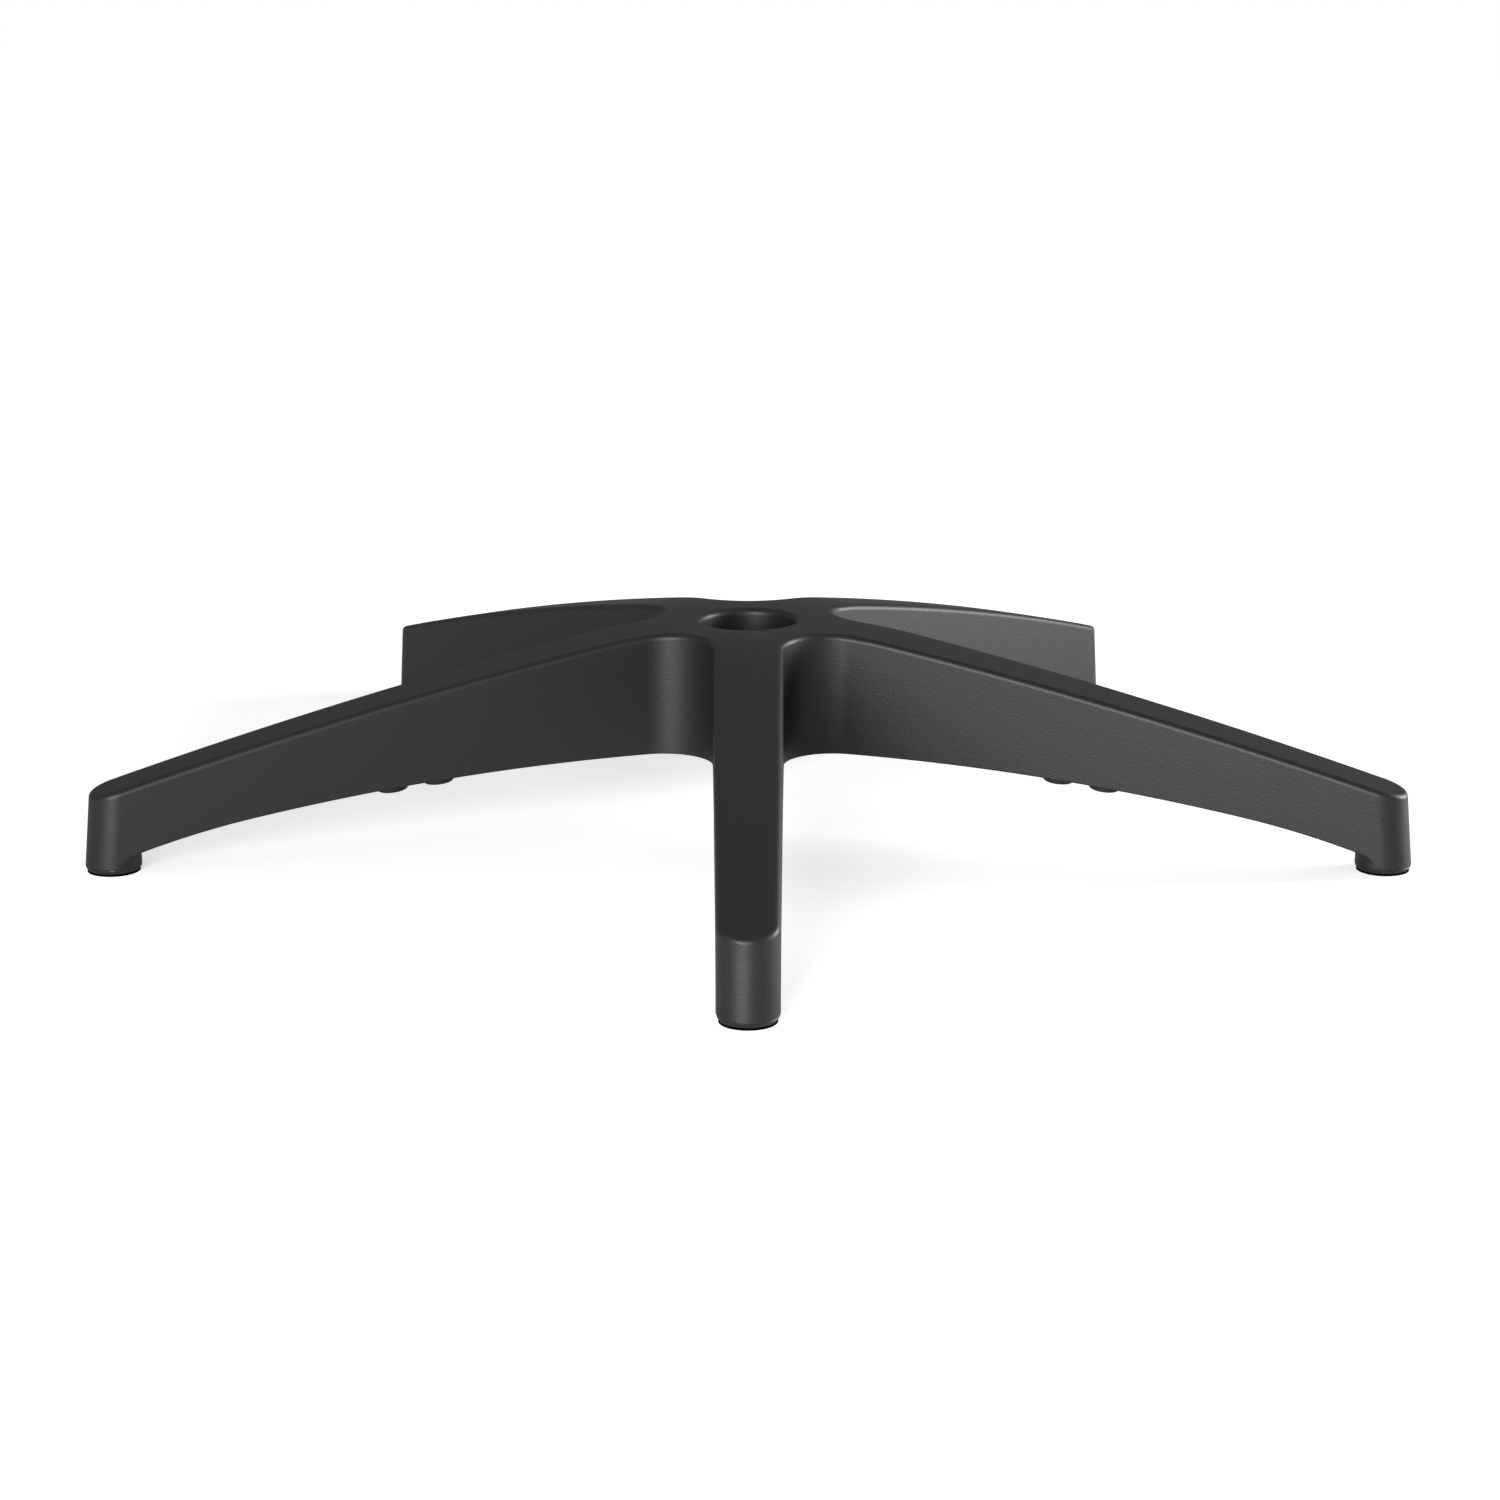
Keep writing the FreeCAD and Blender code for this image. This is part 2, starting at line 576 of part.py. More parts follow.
# The space below the walls, the same line raised for the ribs and the same line lowered for the posts.
under_walls = underside("under_walls", "0", 0.0)
under_ribs = underside("under_ribs", "Sizes.rib_recess", size("rib_recess"))
under_posts = underside("under_posts", "-Sizes.post_drop", -size("post_drop"))

tube = doc.addObject("Part::Cylinder", "hub_tube")
tube.setExpression("Radius", "Sizes.lift_bore_radius + Sizes.hub_tube_wall")
tube.setExpression("Height", FULL_HEIGHT)
tube.setExpression("Placement.Base.z", BELOW_FLOOR)

boss = new_body("foot_boss")
sketch = plan(boss, "boss_plan")
disc(
    sketch, "boss", "Sizes.foot_circle", size("foot_circle"),
    "Sizes.foot_radius - Sizes.boss_step", size("foot_radius") - size("boss_step"),
)
upright(boss, "Pad", "boss", sketch)

# Two hollow stacking posts on the leg's middle line.
post_places = [
    ("Sizes.post_first_circle", size("post_first_circle")),
    ("Sizes.post_first_circle + Sizes.post_pitch", size("post_first_circle") + size("post_pitch")),
]
post_bore_text = "Sizes.post_radius - Sizes.post_wall"
post_bore = size("post_radius") - size("post_wall")
posts = new_body("stacking_posts")
sketch = plan(posts, "post_plan")
for number, (place_text, place) in enumerate(post_places):
    disc(sketch, f"post_{number}", place_text, place, "Sizes.post_radius", size("post_radius"))
    disc(sketch, f"post_bore_{number}", place_text, place, post_bore_text, post_bore)
upright(posts, "Pad", "posts", sketch)

# Ribs: one along the leg, a row across it, and a web on each side of the hub towards the hollow corner.
ribs = new_body("leg_ribs")
tube_middle_text = "Sizes.lift_bore_radius + Sizes.hub_tube_wall / 2"
tube_middle = size("lift_bore_radius") + size("hub_tube_wall") / 2
sketch = plan(ribs, "long_rib_plan")
rectangle(
    sketch, tube_middle_text, tube_middle, "Sizes.foot_circle", size("foot_circle"),
    "Sizes.long_rib_thickness", size("long_rib_thickness"),
)
upright(ribs, "Pad", "long_rib", sketch)
half_rib = size("cross_rib_thickness") / 2
first_rib = size("cross_rib_first_circle")
taper = math.radians(size("leg_taper"))
leg_side = size("foot_radius") + size("foot_circle") * math.sin(taper)
leg_side_text = "(Sizes.foot_radius + Sizes.foot_circle * sin(Sizes.leg_taper * 1 deg))"
sketch = plan(ribs, "cross_rib_plan")
rectangle(
    sketch, "Sizes.cross_rib_first_circle - Sizes.cross_rib_thickness / 2", first_rib - half_rib,
    "Sizes.cross_rib_first_circle + Sizes.cross_rib_thickness / 2", first_rib + half_rib,
    f"2 * {leg_side_text}", 2 * leg_side,
)
cross_rib = upright(ribs, "Pad", "cross_rib", sketch)
row = ribs.newObject("PartDesign::LinearPattern", "cross_ribs")
row.Originals = [cross_rib]
row.Direction = (origin_part(ribs, "X_Axis"), [""])
row.setExpression("Length", "Sizes.cross_rib_pitch * (Sizes.cross_rib_count - 1)")
row.setExpression("Occurrences", "Sizes.cross_rib_count")
ribs.Tip = row
top_side = leg_side - size("overall_height") * tangent("wall_draft")
corner_middle = (top_side + size("hub_corner_radius")) / math.sin(math.pi / size("leg_count") + taper)
corner_middle_text = (
    f"({leg_side_text} - Sizes.overall_height * tan(Sizes.wall_draft * 1 deg) + Sizes.hub_corner_radius)"
    " / sin(180 deg / Sizes.leg_count + Sizes.leg_taper * 1 deg)"
)
for side, sign in (("left", ""), ("right", "-")):
    sketch = plan(ribs, f"{side}_hub_web_plan", f"{sign}180 / Sizes.leg_count")
    rectangle(
        sketch, tube_middle_text, tube_middle, corner_middle_text, corner_middle,
        "Sizes.hub_web_thickness", size("hub_web_thickness"),
    )
    upright(ribs, "Pad", f"{side}_hub_web", sketch)
sketch = plan(ribs, "post_bore_plan")
for number, (place_text, place) in enumerate(post_places):
    disc(sketch, f"post_bore_{number}", place_text, place, post_bore_text, post_bore)
upright(ribs, "Pocket", "post_bores", sketch)

# The hollow keeps the tube, the boss, the posts and the ribs, each ending at its own level.
hollow = combined("Fuse", "hollow", Base=under_walls, Tool=inner)
ended_tube = combined("Cut", "ended_tube", Base=tube, Tool=under_walls)
ended_posts = combined("Cut", "ended_posts", Base=posts, Tool=under_posts)
ended_ribs = combined("Cut", "ended_ribs", Base=ribs, Tool=under_ribs)
kept = combined("MultiFuse", "kept_in_hollow", Shapes=[boss, ended_tube, ended_posts, ended_ribs])
open_space = combined("Cut", "open_space", Base=hollow, Tool=kept)
ribbed_leg = combined("Cut", "ribbed_leg", Base=outer, Tool=open_space)

# The gas lift bore, the caster socket and the foot's lower edge.
lift_bore = new_body("lift_bore")
turned(lift_bore, "Revolution", "lift_bore_turned", bore_sketch(lift_bore, "lift_bore_section"))
foot_cuts = new_body("foot_cuts")
turned(foot_cuts, "Revolution", "socket", socket_sketch(foot_cuts, "socket_section"), "Axis0")
turned(foot_cuts, "Revolution", "lower_edge", foot_edge_sketch(foot_cuts, "lower_edge_section"), "Axis0")
cuts = combined("MultiFuse", "cuts", Shapes=[lift_bore, foot_cuts])
finished_leg = combined("Cut", "finished_leg", Base=ribbed_leg, Tool=cuts)

base = new_body("five_star_base")
base.BaseFeature = finished_leg
doc.recompute()
all_legs = base.newObject("PartDesign::PolarPattern", "all_legs")
all_legs.TransformMode = "Whole shape"
all_legs.Axis = (origin_part(base, "Z_Axis"), [""])
all_legs.Angle = FULL_TURN
all_legs.setExpression("Occurrences", "Sizes.leg_count")
base.Tip = all_legs
base.Label = "five_star_base"
first_leg_direction = -90
base.Placement = FreeCAD.Placement(
    FreeCAD.Vector(0, 0, 0), FreeCAD.Rotation(FreeCAD.Vector(0, 0, 1), first_leg_direction)
)
doc.recompute()

for item in doc.Objects:
    if "Invalid" in item.State or "Error" in item.State:
        raise RuntimeError(f"{item.Name} could not be rebuilt")
if base.Shape.isNull() or not base.Shape.isValid():
    raise RuntimeError("the five star base is not a valid shape")
os.makedirs("parts", exist_ok=True)
base.Shape.exportStep("parts/five_star_base.step")
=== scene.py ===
import json
import math

import bpy
import numpy as np
from mathutils import Matrix, Vector


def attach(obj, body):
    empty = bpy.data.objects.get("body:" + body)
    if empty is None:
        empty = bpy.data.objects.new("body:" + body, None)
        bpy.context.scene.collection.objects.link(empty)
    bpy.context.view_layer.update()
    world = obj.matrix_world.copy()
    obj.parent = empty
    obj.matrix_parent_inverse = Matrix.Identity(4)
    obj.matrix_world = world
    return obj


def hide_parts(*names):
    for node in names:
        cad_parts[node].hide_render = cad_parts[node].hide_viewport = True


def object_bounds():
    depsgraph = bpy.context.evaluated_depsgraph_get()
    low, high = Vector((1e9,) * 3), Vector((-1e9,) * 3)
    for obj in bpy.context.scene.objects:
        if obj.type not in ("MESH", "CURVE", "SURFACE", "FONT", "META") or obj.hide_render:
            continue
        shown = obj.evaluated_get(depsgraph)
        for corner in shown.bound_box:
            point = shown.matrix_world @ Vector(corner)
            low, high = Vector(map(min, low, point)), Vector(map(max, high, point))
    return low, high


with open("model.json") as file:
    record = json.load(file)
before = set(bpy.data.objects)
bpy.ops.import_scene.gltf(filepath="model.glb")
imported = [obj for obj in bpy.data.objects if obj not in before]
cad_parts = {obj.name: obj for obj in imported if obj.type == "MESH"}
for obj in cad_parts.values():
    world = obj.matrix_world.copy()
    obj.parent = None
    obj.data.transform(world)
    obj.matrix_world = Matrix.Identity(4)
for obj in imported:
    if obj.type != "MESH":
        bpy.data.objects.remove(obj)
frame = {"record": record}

cad_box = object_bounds()
scene = bpy.context.scene

# The base is one injection moulding in black polypropylene: a hub and five hollow legs, with a skin of
# even thickness over ribs. It leaves the mould in one piece, open below, so nothing on it is fixed.
#
# Sizes are in millimetres from the centre of the bore's mouth, and a "circle" is a radius about the hub's
# axis. One half of one leg is worked out along X, and the star is ten such halves.
MM = 0.001
LEG_COUNT = 5
HALF_TURN = math.pi / LEG_COUNT
mounts = {mount["name"]: mount for mount in frame["record"]["mounts"]}
caster_socket = mounts["caster_socket_front"]
FOOT_CIRCLE = math.hypot(*caster_socket["pos_m"][:2]) / MM
HEIGHT = -cad_box[0].z / MM
HUB_HEIGHT = 64.1

# The crown is the upper face, and the underside is the walls' lower line. Each is level as far as its flat
# reaches and then bends down: every bend has a radius and the distance at which it ends.
CROWN_FLAT, CROWN_BENDS = 34.7, ((267.5, 83.0), (2867.0, 400.0))
UNDER_FLAT, UNDER_BENDS = 55.0, ((1311.0, 267.7), (433.6, 327.81), (11.0, 335.5))


def bent_line(r, level_end, bends):
    """Height at the distances r of a line that is level up to level_end and then bends down in arcs, each
    tangent to the last: z = centre's height + sqrt(radius^2 - (r - centre's distance)^2)."""
    height = np.zeros_like(r)
    start, start_height, slope = level_end, 0.0, 0.0
    for radius, end in bends:
        centre = start - radius * math.sin(slope)
        centre_height = start_height - radius * math.cos(slope)
        arc = centre_height + np.sqrt(np.maximum(radius**2 - (r - centre) ** 2, 0))
        height = np.where(r > start, arc, height)
        slope = math.asin(min((end - centre) / radius, 1))
        start, start_height = end, centre_height + radius * math.cos(slope)
    return height


def crown(r):
    """Height of the upper face: flat at the hub, then two long bends."""
    return bent_line(r, CROWN_FLAT, CROWN_BENDS)


def crown_slope(r, step=0.01):
    """Rise over run of the crown, from its heights a step before and a step after r."""
    return (crown(r + step) - crown(r - step)) / (2 * step)


def underside(r):
    """Height of the walls' lower line: two long bends, then a tight arch that ends upright at the foot."""
    return bent_line(r, UNDER_FLAT, UNDER_BENDS) - HUB_HEIGHT


# Skin, seen from above: the sides of a leg lean inwards and draw together, the tip is round and leans
# back, and two legs meet at the hub in a hollow round corner.
FOOT_RADIUS = 14.4
LEG_TAPER, WALL_DRAFT, TIP_LEAN = (math.radians(angle) for angle in (0.87, 0.52, 4.8))
HUB_CORNER = 26.5
FLOOR_SIDE = FOOT_RADIUS + FOOT_CIRCLE * math.sin(LEG_TAPER)
TOP_SIDE = FLOOR_SIDE - HEIGHT * math.tan(WALL_DRAFT)
CORNER_CIRCLE = (TOP_SIDE + HUB_CORNER) / math.sin(HALF_TURN + LEG_TAPER)

# Columns of the half leg: round half a hollow corner, along the side, closer together towards the arch
# behind the foot, and round half the tip. Each is its share of the stretch. The side's second column is
# close to its first, which keeps the corner's shading off the flat side.
CORNER_COLUMNS, EVEN_COLUMNS, ARCH_COLUMNS, TIP_COLUMNS = 18, 45, 21, 17
GUARD_SHARE, EVEN_START, EVEN_END = 0.001, 0.02, 0.93
corner_share = np.linspace(0, 1, CORNER_COLUMNS, endpoint=False)
even_share = np.linspace(EVEN_START, EVEN_END, EVEN_COLUMNS)
arch_angle = np.linspace(0, math.pi / 2, ARCH_COLUMNS + 1)[1:]
arch_share = EVEN_END + (1 - EVEN_END) * np.sin(arch_angle)
side_share = np.concatenate([[0, GUARD_SHARE], even_share, arch_share])
tip_share = np.linspace(0, 1, TIP_COLUMNS + 1)[1:]
column_count = corner_share.size + side_share.size + tip_share.size
on_corner = slice(0, corner_share.size)
on_side = slice(corner_share.size, corner_share.size + side_share.size)
on_tip = slice(corner_share.size + side_share.size, column_count)


def outline(z, inset=0.0):
    """Plan x and y of the half leg's columns at the heights z, moved inwards by the inset. The side is the
    line x sin(taper) + y cos(taper) = side, and the corner and the tip are arcs that touch it."""
    rise = HEIGHT + np.broadcast_to(np.asarray(z, float), (column_count,))
    side = FLOOR_SIDE - rise * math.tan(WALL_DRAFT) - inset
    tip = FOOT_CIRCLE - rise * math.tan(TIP_LEAN)
    tip_radius = side - tip * math.sin(LEG_TAPER)
    corner = CORNER_CIRCLE * math.sin(HALF_TURN + LEG_TAPER) - side
    corner_x, corner_y = CORNER_CIRCLE * math.cos(HALF_TURN), CORNER_CIRCLE * math.sin(HALF_TURN)
    first, last = math.pi + HALF_TURN, 1.5 * math.pi - LEG_TAPER
    corner_angle = first + corner_share * (last - first)
    tip_angle = (1 - tip_share) * (math.pi / 2 - LEG_TAPER)
    near = corner_x + corner * math.cos(last)
    far = tip + tip_radius * math.sin(LEG_TAPER)
    side_x = near[on_side] + side_share * (far - near)[on_side]
    x = np.concatenate([
        corner_x + corner[on_corner] * np.cos(corner_angle), side_x,
        tip[on_tip] + tip_radius[on_tip] * np.cos(tip_angle),
    ])
    y = np.concatenate([
        corner_y + corner[on_corner] * np.sin(corner_angle),
        (side[on_side] - side_x * math.sin(LEG_TAPER)) / math.cos(LEG_TAPER),
        tip_radius[on_tip] * np.sin(tip_angle),
    ])
    return x, y


def row(z, inset=0.0):
    """One row of the skin: the outline's points at the heights z, moved inwards by the inset."""
    x, y = outline(z, inset)
    return np.stack([x, y, z], -1)


def between(start, end, shares):
    """Rows from one row of numbers to another: start + share (end - start)."""
    return start + np.asarray(shares)[:, None] * (end - start)


# Skin, seen from the side: the round between crown and wall is a few millimetres, and the walls' lower
# rims are only just rounded. Round the foot the rim is a chamfer above a low collar.
EDGE_ROUND, RIM_ROUND = 3.0, 0.5
SIDE_WALL, TOP_WALL = 4.0, 4.5
COLLAR_RADIUS, COLLAR_HEIGHT, CHAMFER_SLOPE = 13.2, 1.2, 2.2 / 1.1
CHAMFER_REACH = 16.2  # distance from the foot's axis within which the chamfer can be the lower edge
BORE_RADIUS, TUBE_WALL = 25.0, 6.5
TUBE_RADIUS = BORE_RADIUS + TUBE_WALL
GUARD = 0.25  # a row this close to a round keeps the round's shading off the flat face beside it
CROWN_GUARD = 0.985  # the same for the crown, as a share of the way out to the round
SETTLE = 12  # passes that bring a height and the outline at that height into step
CROWN_ROWS, EDGE_ROWS, WALL_ROWS, INNER_ROWS, RIM_ROWS = 8, 9, 5, 6, 5


def plate(ring, x, y, drop, shares):
    """Rows under the crown from the middle out to x, y: start + share (end - start) in plan, at the crown's
    height less the drop. The middle is a ring about the bore for the corner columns, then the leg's middle
    line, then one point in the tip."""
    tip = FOOT_CIRCLE - EDGE_ROUND
    angle = HALF_TURN * (1 - corner_share)
    middle_line = ring + side_share * (tip - ring)
    start_x = np.concatenate([ring * np.cos(angle), middle_line, np.full(tip_share.size, tip)])
    start_y = np.concatenate([ring * np.sin(angle), np.zeros(column_count - corner_share.size)])
    plan_x, plan_y = between(start_x, x, shares), between(start_y, y, shares)
    return np.stack([plan_x, plan_y, crown(np.hypot(plan_x, plan_y)) - drop], -1)


def top_edge():
    """The round between crown and wall, as a ball of the edge's radius that rolls along both: its centre,
    and arcs about it from the crown's normal to the wall's normal."""
    z = np.full(column_count, -EDGE_ROUND)
    for _ in range(SETTLE):
        x, y = outline(z, EDGE_ROUND)
        r = np.hypot(x, y)
        touch = r
        for _ in range(SETTLE):
            slope = crown_slope(touch)
            touch = r - EDGE_ROUND * slope / np.sqrt(1 + slope**2)
        z = crown(touch) - EDGE_ROUND / np.sqrt(1 + slope**2)
    up = np.stack([-slope * x / r, -slope * y / r, np.ones_like(r)], -1)
    up /= np.linalg.norm(up, axis=1)[:, None]
    out_x, out_y = outline(z)
    flat = np.stack([out_x - x, out_y - y], -1)
    flat /= np.linalg.norm(flat, axis=1)[:, None]
    higher_x, higher_y = outline(z + 1)
    tilt = (out_x - higher_x) * flat[:, 0] + (out_y - higher_y) * flat[:, 1]
    out = np.column_stack([flat, tilt])
    out /= np.linalg.norm(out, axis=1)[:, None]
    turn = np.arccos((up * out).sum(1))[:, None]
    share = np.linspace(0, 1, EDGE_ROWS)[:, None, None]
    normals = (up * np.sin((1 - share) * turn) + out * np.sin(share * turn)) / np.sin(turn)
    return np.stack([x, y, z], -1) + EDGE_ROUND * normals


def lower_line():
    """Height of the wall's lower edge: the underside, and round the foot the chamfer's cone, which rises by
    the slope for each millimetre outside the collar."""
    z = np.full(column_count, -HUB_HEIGHT)
    for _ in range(SETTLE):
        x, y = outline(z)
        line = underside(np.hypot(x, y))
        from_foot = np.hypot(x - FOOT_CIRCLE, y)
        cone = COLLAR_HEIGHT - HEIGHT + (from_foot - COLLAR_RADIUS) * CHAMFER_SLOPE
        z = np.where(from_foot < CHAMFER_REACH, np.maximum(line, cone), line)
        z[on_tip] = cone[on_tip]
    return z


def quarter_round(radius, rows=RIM_ROWS):
    """How far a rounded lower edge lies inside and above a sharp one, from its upright end to its level
    end: radius (1 - cos angle) and radius (1 - sin angle)."""
    angle = np.linspace(0, math.pi / 2, rows)
    return radius * (1 - np.cos(angle)), radius * (1 - np.sin(angle))


def half_leg_skin():
    """Rows from the middle of the crown outwards, over the edge, down the wall, round its lower rim, up
    inside it and back along the ceiling to the middle."""
    edge = top_edge()
    crown_share = np.append(np.linspace(0, CROWN_GUARD, CROWN_ROWS), 1)
    crown_rows = plate(CROWN_FLAT, *edge[0].T[:2], 0.0, crown_share)
    low = lower_line()
    inset, lift = quarter_round(RIM_ROUND)
    insets = np.concatenate([inset, SIDE_WALL - inset[::-1]])
    lifts = np.concatenate([lift, lift[::-1]])
    rim = np.array([row(low + rise, inwards) for rise, inwards in zip(lifts, insets)])
    upper, lower = edge[-1, :, 2], rim[0, :, 2]
    heights = between(upper - GUARD, lower + GUARD, np.linspace(0, 1, WALL_ROWS))
    wall = np.array([row(z) for z in heights])
    ceiling = low + TOP_WALL
    for _ in range(SETTLE):
        ceiling = crown(np.hypot(*outline(ceiling, SIDE_WALL))) - TOP_WALL
    inner_share = np.linspace(0, 1, INNER_ROWS)
    inner_wall = np.array([row(z, SIDE_WALL) for z in between(rim[-1, :, 2], ceiling, inner_share)])
    ceiling_rows = plate(TUBE_RADIUS, *inner_wall[-1].T[:2], TOP_WALL, inner_share)[::-1]
    return np.concatenate([crown_rows, edge[1:], wall, rim, inner_wall[1:], ceiling_rows[1:]])


# Tube under the hub, which the tapered end of the gas lift column jams in. Its bore has a rounded mouth, and
# a short straight land at its lower end, where the two halves of the mould's core meet.
BORE_TAPER, MOUTH_ROUND = math.radians(1.43), 3.2
BORE_LAND = mounts["gas_lift_land"]["dims"]["length_mm"]
MOUTH_ROWS = 9


def hub_core():
    """The tube, turned about the hub's axis: down its outside, round its lower rim, up the land and the
    taper, and over the mouth to the crown's flat ring. The angles are those of the corner columns."""
    inset, lift = quarter_round(RIM_ROUND)
    land_top = BORE_LAND - HUB_HEIGHT
    low_bore = BORE_RADIUS + land_top * math.tan(BORE_TAPER)
    mouth_circle = BORE_RADIUS - MOUTH_ROUND * math.tan(BORE_TAPER) + MOUTH_ROUND / math.cos(BORE_TAPER)
    profile = [(TUBE_RADIUS, z) for z in (-TOP_WALL, -HUB_HEIGHT / 3, -HUB_HEIGHT * 2 / 3)]
    profile += zip(TUBE_RADIUS - inset, lift - HUB_HEIGHT)
    profile += zip(low_bore + inset[::-1], lift[::-1] - HUB_HEIGHT)
    profile += [(BORE_RADIUS + z * math.tan(BORE_TAPER), z) for z in (land_top, -MOUTH_ROUND - GUARD)]
    profile += [
        (mouth_circle + MOUTH_ROUND * math.cos(angle), MOUTH_ROUND * (math.sin(angle) - 1))
        for angle in np.linspace(math.pi - BORE_TAPER, math.pi / 2, MOUTH_ROWS)
    ]
    profile += [(mouth_circle + GUARD, 0.0), (CROWN_FLAT, 0.0)]
    r, z = np.array(profile).T[:, :, None]
    angle = HALF_TURN * (1 - np.append(corner_share, 1.0))
    return np.stack([r * np.cos(angle), r * np.sin(angle), z + 0 * angle], -1)


# Foot: a boss with the caster's blind socket up its middle, which stands on a low collar. Towards the hub
# it shows under the arch and is straight, and towards the tip it draws in, inside the leaning wall.
SOCKET_RADIUS, SOCKET_DEPTH, SOCKET_LEAD_IN = caster_socket["dims"]["r_mm"], 25.0, 0.8
BOSS_RADIUS = 14.0
FOOT_COLUMNS = 72
HIDDEN = 2.0  # how far below the crown the tops of foot, posts and ribs end, inside the top wall
# The boss's rows, as heights over the chamfer's end and radii. The last two rows end inside the top wall.
BOSS_TO_HUB = np.array([(0.8, BOSS_RADIUS), (13.2, BOSS_RADIUS), (0, 12.0), (0, 0)])
BOSS_TO_TIP = np.array([(0.8, 13.4), (3.0, 12.0), (0, 9.5), (0, 0)])
BOSS_CHANGE = (1.2, 1.55)  # radians from the tip's direction, between which one turns into the other


def foot():
    """The foot, turned about its own axis: down the socket, under the collar, and up outside."""
    angle = np.linspace(0, 2 * math.pi, FOOT_COLUMNS, endpoint=False)
    chamfer_end = COLLAR_HEIGHT + (BOSS_RADIUS - COLLAR_RADIUS) * CHAMFER_SLOPE
    lower = np.array([
        (SOCKET_DEPTH, 0), (SOCKET_DEPTH, SOCKET_RADIUS), (SOCKET_LEAD_IN, SOCKET_RADIUS),
        (0, SOCKET_RADIUS + SOCKET_LEAD_IN), (0, COLLAR_RADIUS), (COLLAR_HEIGHT, COLLAR_RADIUS),
        (chamfer_end, BOSS_RADIUS),
    ])
    from_tip = np.minimum(angle, 2 * math.pi - angle)
    hub_share = np.interp(from_tip, BOSS_CHANGE, (0, 1))[:, None, None]
    upper = (chamfer_end, 0) + hub_share * BOSS_TO_HUB + (1 - hub_share) * BOSS_TO_TIP
    profile = np.concatenate([np.broadcast_to(lower, (angle.size, *lower.shape)), upper], 1)
    rise, radius = np.moveaxis(profile, -1, 0)
    x = FOOT_CIRCLE + radius * np.cos(angle)[:, None]
    y = radius * np.sin(angle)[:, None]
    z = rise - HEIGHT
    z[:, -2:] = crown(np.hypot(x, y))[:, -2:] - HIDDEN
    return np.stack([x, y, z], -1)


# Two hollow stacking posts are on each leg's middle line and reach a little below its walls. Their lower
# ends follow the walls' lower line.
POST_CIRCLES, POST_RADIUS, POST_WALL, POST_DROP = (168.0, 192.0), 8.0, 2.6, 5.0
POST_EDGE, POST_BORE_EDGE = 1.4, 0.4
POST_COLUMNS = 40


def post(circle):
    """A post, turned about its own axis: down the bore, round the lower rim, and up outside."""
    angle = np.linspace(0, 2 * math.pi, POST_COLUMNS, endpoint=False)
    bore = POST_RADIUS - POST_WALL
    bore_inset, bore_lift = quarter_round(POST_BORE_EDGE)
    inset, lift = (values[::-1] for values in quarter_round(POST_EDGE))
    profile = [(bore, 0), *zip(bore + bore_inset, bore_lift), *zip(POST_RADIUS - inset, lift)]
    profile += [(POST_RADIUS, 0), (bore, 0)]
    radius, rise = np.array(profile).T[:, :, None]
    x, y = circle + radius * np.cos(angle), radius * np.sin(angle)
    r = np.hypot(x, y)
    z = underside(r) - POST_DROP + rise
    z[[0, -2, -1]] = crown(r[[0, -2, -1]]) - HIDDEN
    return np.stack([x, y, z], -1).swapaxes(0, 1)


# Ribs stiffen the hollow leg: a long one from the tube to the foot, a row of short ones across it, and a
# web from the tube to each hollow corner. They are a little shallower than the walls.
CROSS_RIB_CIRCLES = [72.0 + 24.0 * k for k in range(11)]
CROSS_RIB, LONG_RIB, HUB_WEB, RIB_RECESS = 2.4, 3.0, 3.0, 2.0
RIB_STEP = 6.0  # length of a rib between two sections
RIB_LAP = 4.0  # how far the long rib reaches into the foot
RIB_RIM_ROWS = 4


def rib(start, end, thickness):
    """A straight rib between two plan points, as closed sections along start + share (end - start): down one
    side, round the lower edge, up the other side. The lower edge follows the underside, a little above it,
    and the top ends inside the top wall."""
    start, end = np.array(start), np.array(end)
    length = math.dist(start, end)
    share = np.linspace(0, 1, max(2, round(length / RIB_STEP)) + 1)[:, None]
    middle = start + share * (end - start)
    across = np.array([start[1] - end[1], end[0] - start[0]]) / length
    inset, lift = quarter_round(RIM_ROUND, RIB_RIM_ROWS)
    half = thickness / 2
    offset = np.concatenate([[-half], inset - half, half - inset[::-1], [half]])
    plan = middle[:, None] + offset[:, None] * across
    r = np.hypot(*np.moveaxis(plan, -1, 0))
    z = crown(r) - HIDDEN
    z[:, 1:-1] = underside(r[:, 1:-1]) + RIB_RECESS + np.concatenate([lift, lift[::-1]])
    return np.concatenate([plan, z[:, :, None]], -1)


def inside_of_wall(x):
    """Plan y of the middle of the side wall at the distance x along the leg, from the side's line."""
    side = FLOOR_SIDE - (HEIGHT - HUB_HEIGHT) * math.tan(WALL_DRAFT) - SIDE_WALL / 2
    return (side - x * math.sin(LEG_TAPER)) / math.cos(LEG_TAPER)


